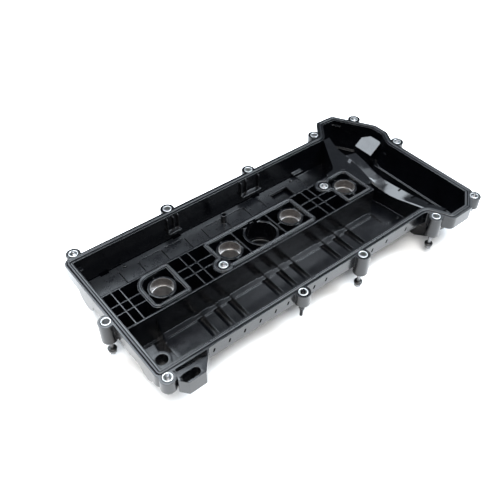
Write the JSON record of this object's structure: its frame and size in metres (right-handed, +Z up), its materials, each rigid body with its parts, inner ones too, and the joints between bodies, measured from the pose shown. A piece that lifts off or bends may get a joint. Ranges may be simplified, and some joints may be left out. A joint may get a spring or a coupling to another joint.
{
  "type": "engine valve cover",
  "caption": "Black plastic valve cover lying open side up, with rim and plug-tube gaskets, sleeved captive bolts, an inner baffle plate and an oil filler cap.",
  "frame": {"origin": "centre of the bounding box in plan, on the lowest face that the part lies on", "axes": "+X along the row of plug tubes towards the timing end, +Y across the cover towards the baffle side, +Z up out of the open side"},
  "size_m": [0.5074, 0.2632, 0.0696],
  "materials": {
    "cover_plastic": "semi-gloss moulded glass-filled nylon",
    "baffle_plastic": "satin moulded",
    "gasket_rubber": "matt moulded rubber",
    "seal_rubber": "matt",
    "sleeve_steel": "turned, zinc plated",
    "bolt_steel": "zinc plated",
    "liner_steel": "dull rolled steel",
    "clip_steel": "bright spring steel",
    "cap_plastic": "moulded"
  },
  "bodies": {
    "cover": {"cover_shell": "cover_plastic", "perimeter_gasket": "gasket_rubber", "plug_gasket_1": "gasket_rubber", "plug_gasket_2": "gasket_rubber", "plug_gasket_3": "gasket_rubber", "baffle_plate": "baffle_plastic", "deck_clip": "clip_steel", "plug_liner_1": "liner_steel", "plug_liner_2": "liner_steel", "plug_liner_3": "liner_steel", "plug_liner_4": "liner_steel", "sleeve_01": "sleeve_steel", "sleeve_02": "sleeve_steel", "sleeve_03": "sleeve_steel", "sleeve_04": "sleeve_steel", "sleeve_05": "sleeve_steel", "sleeve_06": "sleeve_steel", "sleeve_07": "sleeve_steel", "sleeve_08": "sleeve_steel", "sleeve_09": "sleeve_steel", "sleeve_10": "sleeve_steel", "sleeve_11": "sleeve_steel", "sleeve_12": "sleeve_steel", "sleeve_13": "sleeve_steel", "sleeve_14": "sleeve_steel"},
    "captive_bolt_01": {"bolt_01": "bolt_steel", "bolt_seal_01": "seal_rubber"},
    "captive_bolt_02": {"bolt_02": "bolt_steel", "bolt_seal_02": "seal_rubber"},
    "captive_bolt_03": {"bolt_03": "bolt_steel", "bolt_seal_03": "seal_rubber"},
    "captive_bolt_04": {"bolt_04": "bolt_steel", "bolt_seal_04": "seal_rubber"},
    "captive_bolt_05": {"bolt_05": "bolt_steel", "bolt_seal_05": "seal_rubber"},
    "captive_bolt_06": {"bolt_06": "bolt_steel", "bolt_seal_06": "seal_rubber"},
    "captive_bolt_07": {"bolt_07": "bolt_steel", "bolt_seal_07": "seal_rubber"},
    "captive_bolt_08": {"bolt_08": "bolt_steel", "bolt_seal_08": "seal_rubber"},
    "captive_bolt_09": {"bolt_09": "bolt_steel", "bolt_seal_09": "seal_rubber"},
    "captive_bolt_10": {"bolt_10": "bolt_steel", "bolt_seal_10": "seal_rubber"},
    "captive_bolt_11": {"bolt_11": "bolt_steel", "bolt_seal_11": "seal_rubber"},
    "captive_bolt_12": {"bolt_12": "bolt_steel", "bolt_seal_12": "seal_rubber"},
    "captive_bolt_13": {"bolt_13": "bolt_steel", "bolt_seal_13": "seal_rubber"},
    "captive_bolt_14": {"bolt_14": "bolt_steel", "bolt_seal_14": "seal_rubber"},
    "filler_cap": {"oil_cap": "cap_plastic", "cap_seal": "seal_rubber"}
  },
  "joints": [
    {"name": "bolt_01_slide", "type": "slide", "parent": "cover", "child": "captive_bolt_01", "axis": [0, 0, 1], "range_m": [-0.0099, 0]},
    {"name": "bolt_02_slide", "type": "slide", "parent": "cover", "child": "captive_bolt_02", "axis": [0, 0, 1], "range_m": [0, 0.0159]},
    {"name": "bolt_03_slide", "type": "slide", "parent": "cover", "child": "captive_bolt_03", "axis": [0, 0, 1], "range_m": [0, 0.0159]},
    {"name": "bolt_04_slide", "type": "slide", "parent": "cover", "child": "captive_bolt_04", "axis": [0, 0, 1], "range_m": [0, 0.0159]},
    {"name": "bolt_05_slide", "type": "slide", "parent": "cover", "child": "captive_bolt_05", "axis": [0, 0, 1], "range_m": [-0.0099, 0]},
    {"name": "bolt_06_slide", "type": "slide", "parent": "cover", "child": "captive_bolt_06", "axis": [0, 0, 1], "range_m": [-0.0099, 0]},
    {"name": "bolt_07_slide", "type": "slide", "parent": "cover", "child": "captive_bolt_07", "axis": [0, 0, 1], "range_m": [-0.0099, 0]},
    {"name": "bolt_08_slide", "type": "slide", "parent": "cover", "child": "captive_bolt_08", "axis": [0, 0, 1], "range_m": [0, 0.0159]},
    {"name": "bolt_09_slide", "type": "slide", "parent": "cover", "child": "captive_bolt_09", "axis": [0, 0, 1], "range_m": [0, 0.0159]},
    {"name": "bolt_10_slide", "type": "slide", "parent": "cover", "child": "captive_bolt_10", "axis": [0, 0, 1], "range_m": [-0.0099, 0]},
    {"name": "bolt_11_slide", "type": "slide", "parent": "cover", "child": "captive_bolt_11", "axis": [0, 0, 1], "range_m": [-0.0099, 0]},
    {"name": "bolt_12_slide", "type": "slide", "parent": "cover", "child": "captive_bolt_12", "axis": [0, 0, 1], "range_m": [0, 0.0159]},
    {"name": "bolt_13_slide", "type": "slide", "parent": "cover", "child": "captive_bolt_13", "axis": [0, 0, 1], "range_m": [-0.0099, 0]},
    {"name": "bolt_14_slide", "type": "slide", "parent": "cover", "child": "captive_bolt_14", "axis": [0, 0, 1], "range_m": [-0.0099, 0]},
    {"name": "filler_cap_turn", "type": "hinge", "parent": "cover", "child": "filler_cap", "pos_m": [-0.02515, 0.00386, 0.006], "axis": [0, 0, 1], "range_deg": [0, 90]}
  ]
}
